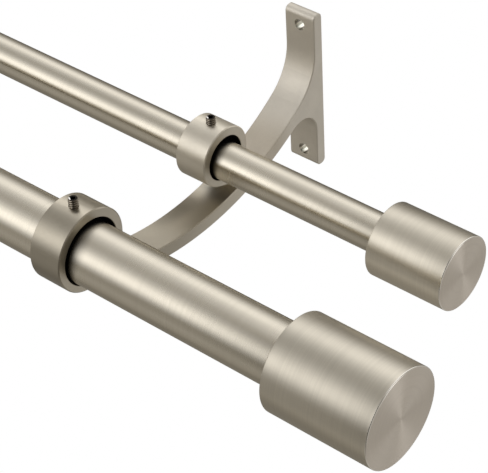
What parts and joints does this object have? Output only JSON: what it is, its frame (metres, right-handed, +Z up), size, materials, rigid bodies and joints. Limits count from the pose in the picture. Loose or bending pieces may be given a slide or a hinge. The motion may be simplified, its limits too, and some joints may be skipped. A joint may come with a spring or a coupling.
{
  "type": "double curtain pole",
  "caption": "Thick front rod and thin back rod with plain cylindrical finials, carried in the rings of curved-arm wall brackets, for hanging curtains in two layers.",
  "frame": {"origin": "centre of the rectangle of the four wall screw holes, in the plane of the wall", "axes": "+X along the rods to the right as seen from the room, +Y into the wall, +Z up"},
  "size_m": [0.803, 0.1601, 0.0762],
  "materials": {
    "rod": "satin nickel plate, finely brushed round the rod",
    "bracket": "satin nickel plate, smooth",
    "finial": "satin nickel plate, brushed round the side, turned end face",
    "set_screw": "bright steel, machined",
    "stud": "zinc plated steel",
    "plug": "natural nylon"
  },
  "bodies": {
    "root": {"front_rod": "rod", "back_rod": "rod", "right_bracket": "bracket", "right_front_ring_screw": "set_screw", "front_right_finial": "finial", "front_right_finial_stud": "stud", "front_right_rod_plug": "plug", "right_back_ring_screw": "set_screw", "back_right_finial": "finial", "back_right_finial_stud": "stud", "back_right_rod_plug": "plug", "left_bracket": "bracket", "left_front_ring_screw": "set_screw", "front_left_finial": "finial", "front_left_finial_stud": "stud", "front_left_rod_plug": "plug", "left_back_ring_screw": "set_screw", "back_left_finial": "finial", "back_left_finial_stud": "stud", "back_left_rod_plug": "plug"}
  },
  "joints": []
}
